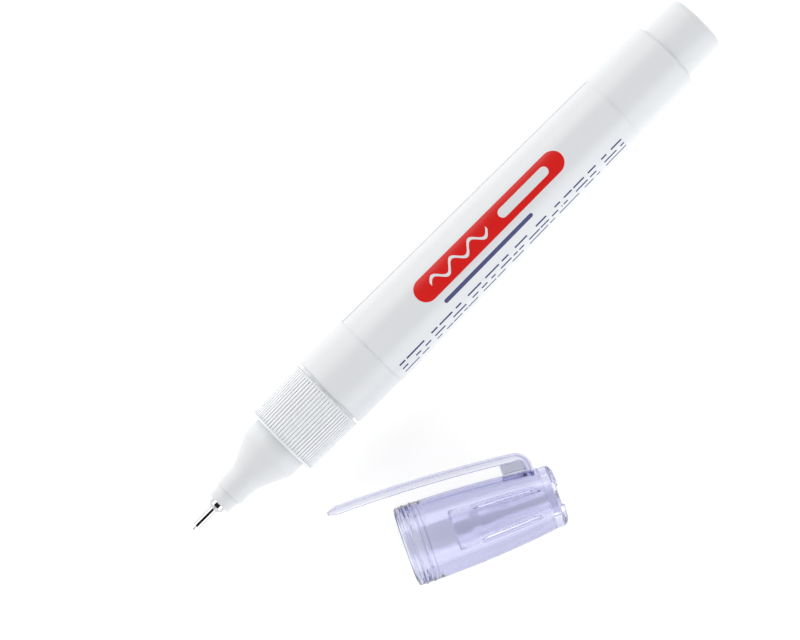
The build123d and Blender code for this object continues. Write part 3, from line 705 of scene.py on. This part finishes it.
add_piece(turned("cap_shell_clear", cap_place, shell_outline(), SHELL_STEPS, inner_ribs),
          shell_violet, "cap", "cap_violet", "cap_shell")


# Cap crown: a rounded rim round a dish, with notches in the rim and vents through the dish.
# Corners give their place along the cap, their radius and their rounding.

CROWN_END_MM = 28.9
CROWN_CORNERS_MM = [
    (26.51, 0, 0), (26.51, 5.65, 0), (CROWN_END_MM, 5.65, 1.1),
    (CROWN_END_MM, 4.35, 0.3), (27.8, 4.35, 0.3), (27.8, 0, 0),
]
CROWN_STEPS = 240
NOTCH_TURNS = (90, 210, 330)
NOTCH_HALF_TURN = 23
NOTCH_EASE_TURN = 3
NOTCH_DEPTH = 0.4 * MM
NOTCH_REACH = 0.7 * MM
VENT_TURNS = (60, 180, 300)
VENT_HALF_TURN = 38
VENT_INNER_R = 2.63 * MM
VENT_OUTER_R = 3.72 * MM
VENT_REACH = (26.0 * MM, 28.3 * MM)
VENT_STEPS = 10


def crown_notches(along, radius, angle):
    """Lowers the crown's rim where a notch crosses it."""
    off = min(abs((math.degrees(angle) - turn + 180) % 360 - 180) for turn in NOTCH_TURNS)
    notch = min(1, max(0, (NOTCH_HALF_TURN - off) / NOTCH_EASE_TURN))
    rise = max(0, 1 - (CROWN_END_MM * MM - along) / NOTCH_REACH)
    return along - NOTCH_DEPTH * notch * rise, radius


def vent_cutter(turn):
    """A bent bar that takes one vent out of the dish."""
    ring = []
    for radius, way in ((VENT_INNER_R, 1), (VENT_OUTER_R, -1)):
        reach = VENT_HALF_TURN * way
        for step in spaced(-reach, reach, 2 * VENT_HALF_TURN / VENT_STEPS):
            angle = math.radians(turn + step)
            ring.append((radius * math.cos(angle), radius * math.sin(angle)))
    return skinned("vent", cap_place,
                   [[(along, aside, up) for aside, up in ring] for along in VENT_REACH])


crown_mesh = turned("cap_crown_clear", cap_place, rounded_mm(CROWN_CORNERS_MM), CROWN_STEPS,
                    crown_notches)
add_piece(cut(crown_mesh, [vent_cutter(turn) for turn in VENT_TURNS]),
          crown_violet, "cap", "cap_violet", "cap_crown")


# Cap sleeve: a lip, a waist behind it and a long nose, from corners as the crown's

SLEEVE_CORNERS_MM = [
    (9.0, 3.0, 0.3), (9.0, 3.72, 0.3), (12.2, 3.66, 1.2), (13.9, 3.06, 1.6), (26.46, 2.5, 0.0),
    (26.46, 1.62, 0.0), (19.5, 1.62, 3.0), (15.6, 2.48, 3.0), (13.6, 2.48, 0.8), (12.2, 3.0, 0.8),
]
SLEEVE_STEPS = 120

sleeve_mesh = turned("cap_sleeve_clear", cap_place, rounded_mm(SLEEVE_CORNERS_MM), SLEEVE_STEPS)
add_piece(sleeve_mesh, sleeve_violet, "cap", "sleeve_violet", "cap_inner_sleeve")


# Cap clip: a bowed arm of a thin flange over a round rib, turned down behind onto the shell

CLIP_END = -11.2 * MM
CLIP_UNDERSIDE = ((-11.2 * MM, 9.5 * MM), (4.6 * MM, 9.335 * MM), (20.4 * MM, 8.27 * MM))
CLIP_CHISEL = 1.6 * MM
CLIP_TIP_DEPTH = 0.95 * MM
CLIP_TIP_SHARE = 0.4
CLIP_TIP_LEAST = 0.02 * MM
CLIP_TIP_STEP = 0.16 * MM
CLIP_ARM_START = 2.0 * MM
CLIP_ARM_STEP = 0.8 * MM
CLIP_SLOPE_STEP = 0.1 * MM
CLIP_THICKNESS = 1.66 * MM
CLIP_FLANGE = 0.5 * MM
CLIP_FLANGE_ROUND = 0.14 * MM
CLIP_NECK_ROUND = 0.12 * MM
CLIP_RIB_HALF = 0.9 * MM
CLIP_RIB_ROUND = 0.55 * MM
# Painted shade over the clip's rib, and the spread of the painted shade lines at its edges
CLIP_RIB_PAINTED_SHADE = 0.12
CLIP_SHADE_LINE_SPREAD = 0.11 * MM
CLIP_HALF_ROOT = 2.2 * MM
CLIP_HALF_END = 1.8 * MM
CLIP_PLAN_ROUND = 1.2 * MM
CLIP_BACK = 26.0 * MM
CLIP_BACK_ROUND = 3.0 * MM
CLIP_BACK_STEP = math.pi / 40
CLIP_BACK_THICKNESS = 1.15 * MM
CLIP_THIN_RATE = 1.6
CLIP_FOOT_GAP = 0.03 * MM
CLIP_FOOT_MIDDLE = CLIP_BACK - 0.3 * MM
CLIP_FOOT_STEPS = (1.0, 0.8, 0.6, 0.4, 0.2, 0.02)

arm_underside = arc_through(*CLIP_UNDERSIDE)


def clip_line():
    """Points down the clip's outer side, from its free end to its foot.

    Each gives its place, the direction inwards and the clip's thickness there.
    """
    line = []
    places = spaced(CLIP_END, CLIP_END + CLIP_CHISEL, CLIP_TIP_STEP)
    places += spaced(CLIP_END + CLIP_ARM_START, CLIP_BACK - CLIP_BACK_ROUND, CLIP_ARM_STEP)
    for x in places:
        rise = arm_underside(x + CLIP_SLOPE_STEP) - arm_underside(x - CLIP_SLOPE_STEP)
        inward = Vector((rise / (2 * CLIP_SLOPE_STEP), -1)).normalized()
        point = Vector((x, arm_underside(x))) - inward * CLIP_THICKNESS
        line.append((point, inward, CLIP_THICKNESS))
    arm_end, inward = line[-1][:2]
    start_angle = math.atan2(-inward.y, -inward.x)
    centre = arm_end + inward * CLIP_BACK_ROUND
    for angle in spaced(start_angle, 0, CLIP_BACK_STEP)[1:]:
        out = Vector((math.cos(angle), math.sin(angle)))
        thinned = min(1, CLIP_THIN_RATE * (1 - angle / start_angle))
        thickness = CLIP_THICKNESS + (CLIP_BACK_THICKNESS - CLIP_THICKNESS) * thinned
        line.append((centre + out * CLIP_BACK_ROUND, -out, thickness))
    return line


def clip_section(half, thickness, share):
    """The clip's outline across its length: a flange, and a round rib under it."""
    rib = CLIP_RIB_HALF * half / CLIP_HALF_ROOT
    rib_round = CLIP_RIB_ROUND * share * thickness / CLIP_THICKNESS
    return rounded([
        (0, -half, CLIP_FLANGE_ROUND), (0, half, CLIP_FLANGE_ROUND),
        (CLIP_FLANGE, half, CLIP_FLANGE_ROUND), (CLIP_FLANGE, rib, CLIP_NECK_ROUND),
        (thickness, rib, rib_round), (thickness, -rib, rib_round),
        (CLIP_FLANGE, -rib, CLIP_NECK_ROUND), (CLIP_FLANGE, -half, CLIP_FLANGE_ROUND),
    ])


def clip_painted_shade(depth, thickness):
    """How much painted shade the clip's skin has at this depth: most at the edges of its flange and rib."""
    off = min(abs(depth - line) for line in (CLIP_FLANGE, thickness))
    return max(CLIP_RIB_PAINTED_SHADE if depth > CLIP_FLANGE else 0, bell(off, CLIP_SHADE_LINE_SPREAD))


def foot_ring(ring, scale):
    """The clip's last ring, drawn in by a scale and laid on the shell."""
    laid = []
    for x, _, aside in ring:
        x, aside = CLIP_FOOT_MIDDLE + (x - CLIP_FOOT_MIDDLE) * scale, aside * scale
        laid.append((x, math.sqrt((cap_radius(x) + CLIP_FOOT_GAP) ** 2 - aside * aside), aside))
    return laid


def clip_mesh():
    """The clip, with painted shade along its edges marked on its points."""
    rings = []
    painted_shades = []
    for point, inward, thickness in clip_line():
        from_end = max(point.x - CLIP_END, CLIP_TIP_LEAST)
        share = min(1, CLIP_TIP_SHARE + (1 - CLIP_TIP_SHARE) * from_end / CLIP_CHISEL)
        reach = (point.x - CLIP_END) / (CLIP_BACK - CLIP_END)
        half = CLIP_HALF_END + (CLIP_HALF_ROOT - CLIP_HALF_END) * reach
        if from_end < CLIP_PLAN_ROUND:
            short = CLIP_PLAN_ROUND - from_end
            half += math.sqrt(CLIP_PLAN_ROUND ** 2 - short ** 2) - CLIP_PLAN_ROUND
        ring = []
        for depth, aside in clip_section(half, thickness, share):
            at = point + inward * (CLIP_TIP_DEPTH + (depth - CLIP_TIP_DEPTH) * share)
            ring.append((at.x, at.y, aside))
            painted_shades.append(clip_painted_shade(depth, thickness))
        rings.append(ring)
    last = rings[-1]
    last_painted_shades = painted_shades[-len(last):]
    for scale in CLIP_FOOT_STEPS:
        rings.append(foot_ring(last, scale))
        painted_shades += last_painted_shades
    mesh = skinned("cap_clip_clear", cap_place, rings)
    mesh.attributes.new(CLIP_PAINTED_SHADE, "FLOAT", "POINT").data.foreach_set("value", painted_shades)
    return mesh


clip = add_piece(clip_mesh(), clip_violet, None, "cap_violet", "cap_clip")
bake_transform(clip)


# Web under the clip's root

WEB_START = 20.45 * MM
WEB_GAP = 0.12 * MM
WEB_ROOF_GAP = 0.03 * MM
WEB_HALF = 1.5 * MM
WEB_ROUND = 0.15 * MM
WEB_STEP = 0.5 * MM


def web_rings():
    """The web's outline between the shell and the clip, drawn in a little at both its faces."""
    roof = [point + inward * (thickness + WEB_ROOF_GAP) for point, inward, thickness in clip_line()]
    roof = [point for point in roof if point.x > WEB_START]
    foot = spaced(WEB_START, roof[-1].x, WEB_STEP)
    outline = [Vector((x, cap_radius(x) + WEB_GAP)) for x in foot]
    outline += reversed(roof)
    outline.append(Vector((WEB_START, arm_underside(WEB_START) - WEB_ROOF_GAP)))
    middle = sum(outline, Vector((0, 0))) / len(outline)
    flat = WEB_HALF - WEB_ROUND
    rings = []
    for aside, inset in ((-WEB_HALF, WEB_ROUND), (-flat, 0), (flat, 0), (WEB_HALF, WEB_ROUND)):
        ring = []
        for point in outline:
            at = point + (middle - point).normalized() * inset
            ring.append((at.x, at.y, aside))
        rings.append(ring)
    return rings


add_piece(skinned("cap_clip_web", cap_place, web_rings()), web_shaded_violet, "clip", "cap_violet")


# Ribs round the collar, one rounded bar on each land between its grooves

COLLAR_FRONT = 22.08 * MM
COLLAR_FRONT_R = 7.15 * MM
COLLAR_REAR = 33.8 * MM
COLLAR_REAR_R = 7.39 * MM
COLLAR_RIB_COUNT = 72
COLLAR_RIB_START = 22.5 * MM
COLLAR_RIB_END = 33.75 * MM
COLLAR_RIB_WIDTH = 0.46 * MM
COLLAR_RIB_HEIGHT = 0.05 * MM
COLLAR_RIB_ROOT = 0.12 * MM
COLLAR_RIB_CROWN = 0.999
COLLAR_RIB_RUN_OUT = 14.0
POINTS_ALONG_RIB = 13
POINTS_ACROSS_RIB = 7
PLAIN_BAR_DEPTH = 1.0 * MM


def collar_rib_tree():
    """Bars in a ring round the X axis, each crowned across and run out at its ends."""
    tree = bpy.data.node_groups.new("collar ribs", "GeometryNodeTree")
    measures = ("Length", "Width", "Height", "Root", "Radius", "Flare")
    kinds = dict.fromkeys(measures, "NodeSocketFloat")
    kinds.update({"Count": "NodeSocketInt", "Finish": "NodeSocketMaterial"})
    for name, kind in kinds.items():
        tree.interface.new_socket(name, in_out="INPUT", socket_type=kind)
    tree.interface.new_socket("Ribs", in_out="OUTPUT", socket_type="NodeSocketGeometry")
    inputs = tree.nodes.new("NodeGroupInput")
    size = {name: Socket(tree, inputs.outputs[name]) for name in kinds}
    start = Socket(tree)

    # One bar, its top raised to the crowned height and its bottom sunk into the collar
    box = start.node("ShaderNodeCombineXYZ", {},
                     {0: size["Length"], 1: size["Width"], 2: PLAIN_BAR_DEPTH})
    bar = start.node("GeometryNodeMeshCube", {},
                     {"Size": box, "Vertices X": POINTS_ALONG_RIB,
                      "Vertices Y": POINTS_ACROSS_RIB, "Vertices Z": 2})
    place = start.node("GeometryNodeInputPosition")
    x, y, z = (place.node("ShaderNodeSeparateXYZ", {}, {0: place}, axis) for axis in "XYZ")
    across = y / (size["Width"] * 0.5)
    along = abs(x / (size["Length"] * 0.5))
    crown = (1 - across * across * COLLAR_RIB_CROWN).of("SQRT")
    run_out = 1 - along.of("POWER", COLLAR_RIB_RUN_OUT)
    top = size["Height"] * crown * run_out
    over = z > 0.0
    height = over * (top + size["Root"]) - size["Root"] + size["Radius"] + x * size["Flare"]
    moved = start.node("ShaderNodeCombineXYZ", {}, {0: x, 1: y, 2: height})
    shaped = start.node("GeometryNodeSetPosition", {}, {"Geometry": bar, "Position": moved})

    # The ring, with its first bar half a space from the pen's top
    points = start.node("GeometryNodePoints", {}, {"Count": size["Count"]})
    index = start.node("GeometryNodeInputIndex")
    turn = (index + 0.5) * (2 * math.pi) / size["Count"]
    turns = start.node("ShaderNodeCombineXYZ", {}, {0: turn})
    ring = start.node("GeometryNodeInstanceOnPoints", {},
                      {"Points": points, "Instance": shaped, "Rotation": turns})
    real = start.node("GeometryNodeRealizeInstances", {}, {"Geometry": ring})
    smooth = start.node("GeometryNodeSetShadeSmooth", {}, {"Geometry": real})
    dressed = start.node("GeometryNodeSetMaterial", {},
                         {"Geometry": smooth, "Material": size["Finish"]})
    output = tree.nodes.new("NodeGroupOutput")
    tree.links.new(dressed.socket, output.inputs["Ribs"])
    return tree


def grown(name, place, tree, values):
    """The plain mesh that a tree gives for these values, put in its place."""
    seed = in_scene(name, bpy.data.meshes.new(name))
    modifier = seed.modifiers.new(name, "NODES")
    modifier.node_group = tree
    for item in tree.interface.items_tree:
        if item.in_out == "INPUT":
            modifier[item.identifier] = values[item.name]
    graph = bpy.context.evaluated_depsgraph_get()
    mesh = bpy.data.meshes.new_from_object(seed.evaluated_get(graph))
    bpy.data.meshes.remove(seed.data)
    mesh.name = name
    mesh.transform(place)
    return mesh


ribs_middle = (COLLAR_RIB_START + COLLAR_RIB_END) / 2
collar_flare = (COLLAR_REAR_R - COLLAR_FRONT_R) / (COLLAR_REAR - COLLAR_FRONT)
rib_sizes = {
    "Length": COLLAR_RIB_END - COLLAR_RIB_START,
    "Width": COLLAR_RIB_WIDTH,
    "Height": COLLAR_RIB_HEIGHT,
    "Root": COLLAR_RIB_ROOT,
    "Radius": COLLAR_FRONT_R + collar_flare * (ribs_middle - COLLAR_FRONT),
    "Flare": collar_flare,
    "Count": COLLAR_RIB_COUNT,
    "Finish": collar_painted_light_white.material,
}
ribs_place = pen_place @ Matrix.Translation((ribs_middle, 0, 0))
add_piece(grown("collar_ribs", ribs_place, collar_rib_tree(), rib_sizes),
          collar_painted_light_white, "pen", "white_moulding")


# Floor, light and sky. Angles are in degrees from straight up.

FLOOR_DARK = (0.34, 0.34, 0.34, 1)
FLOOR_LIGHT = (0.36, 0.36, 0.36, 1)
FLOOR_DRIFT_SCALE = 6.0
FLOOR_DRIFT_GLOSS = 0.05
FLOOR_ROUGHNESS = 0.7
FLOOR_SPECULAR = 0.2
FLOOR_GLOW = 0.79
FLOOR_GLOW_COLOUR = (1, 1, 1, 1)
FLOOR_HALF = 3.0
FLOOR_CUTS = 8
FLOOR_DROP = 0.02 * MM
BOX_DISTANCE = 0.88
BOX_WIDTH = 1.8
SKY_STRENGTH = 0.64
SKY_STOPS = [
    (0.0, (1.0, 1.0, 1.0, 1)),
    (0.35, (0.96, 0.965, 0.98, 1)),
    (0.55, (0.72, 0.725, 0.74, 1)),
    (0.75, (0.4, 0.405, 0.42, 1)),
]
FLAG_PLACE = 0.03
FLAG_HALF = 0.16
FLAG_LOW = 0.66
FLAG_EDGE = 0.08
FLAG_BLACK = (0.04, 0.04, 0.042, 1)
LIGHT_BOUNCES = 48


def add_floor():
    """A pale floor just under the row, with a glow of its own that lifts its shadows."""
    finish = Finish("pale floor")
    drift = finish.place.noise(FLOOR_DRIFT_SCALE)
    finish.set(
        Base_Color=drift.tint(FLOOR_DARK, FLOOR_LIGHT),
        Roughness=FLOOR_ROUGHNESS + drift * FLOOR_DRIFT_GLOSS,
        Specular_IOR_Level=FLOOR_SPECULAR,
        Emission_Color=FLOOR_GLOW_COLOUR,
        Emission_Strength=FLOOR_GLOW,
    )
    sheet = bmesh.new()
    bmesh.ops.create_grid(sheet, x_segments=FLOOR_CUTS, y_segments=FLOOR_CUTS, size=FLOOR_HALF)
    mesh = bpy.data.meshes.new("floor")
    sheet.to_mesh(mesh)
    sheet.free()
    mesh.materials.append(finish.material)
    floor = in_scene("floor", mesh)
    floor.location.z = -FLOOR_DROP


def add_softbox(name, side, high, low, glow, colour):
    """A softbox at one side of the pen, aimed at it, that reaches between two angles."""
    middle = math.radians((high + low) / 2)
    height = 2 * BOX_DISTANCE * math.tan(math.radians((low - high) / 2))
    place = Vector((0, side * BOX_DISTANCE * math.sin(middle), BOX_DISTANCE * math.cos(middle)))
    light = bpy.data.lights.new(name, "AREA")
    light.shape = "RECTANGLE"
    light.size = BOX_WIDTH
    light.size_y = height
    light.energy = glow * BOX_WIDTH * height
    light.color = colour
    box = in_scene(name, light)
    box.location = place
    box.rotation_euler = (Vector() - place).to_track_quat("-Z", "Y").to_euler()


def add_sky():
    """A pale sky, with a black flag hung across the pen overhead that the bright steel mirrors."""
    world = bpy.data.worlds.new("studio")
    world.use_nodes = True
    bpy.context.scene.world = world
    tree = world.node_tree
    direction = Socket(tree).node("ShaderNodeTexCoord", output="Generated")
    rise = direction.dot((0, 0, 1))
    sky = rise.node("ShaderNodeValToRGB", {"stops": SKY_STOPS}, {"Fac": rise})
    across = 1 - abs(direction.dot(pen_axis) - FLAG_PLACE) / FLAG_HALF
    flag = (across / FLAG_EDGE).clamped() * ((rise - FLAG_LOW) / FLAG_EDGE).clamped()
    background = tree.nodes["Background"]
    tree.links.new(flag.tint(sky, FLAG_BLACK).socket, background.inputs["Color"])
    background.inputs["Strength"].default_value = SKY_STRENGTH


add_floor()
add_softbox("softbox near", side=1, high=38, low=78, glow=7.8, colour=(1.0, 1.0, 1.0))
add_softbox("softbox far", side=-1, high=42, low=81, glow=8.3, colour=(0.97, 0.98, 1.0))
add_sky()
bpy.context.scene.view_settings.view_transform = "Standard"
bpy.context.scene.cycles.max_bounces = LIGHT_BOUNCES
bpy.context.scene.cycles.transmission_bounces = LIGHT_BOUNCES
bpy.context.scene.cycles.glossy_bounces = LIGHT_BOUNCES
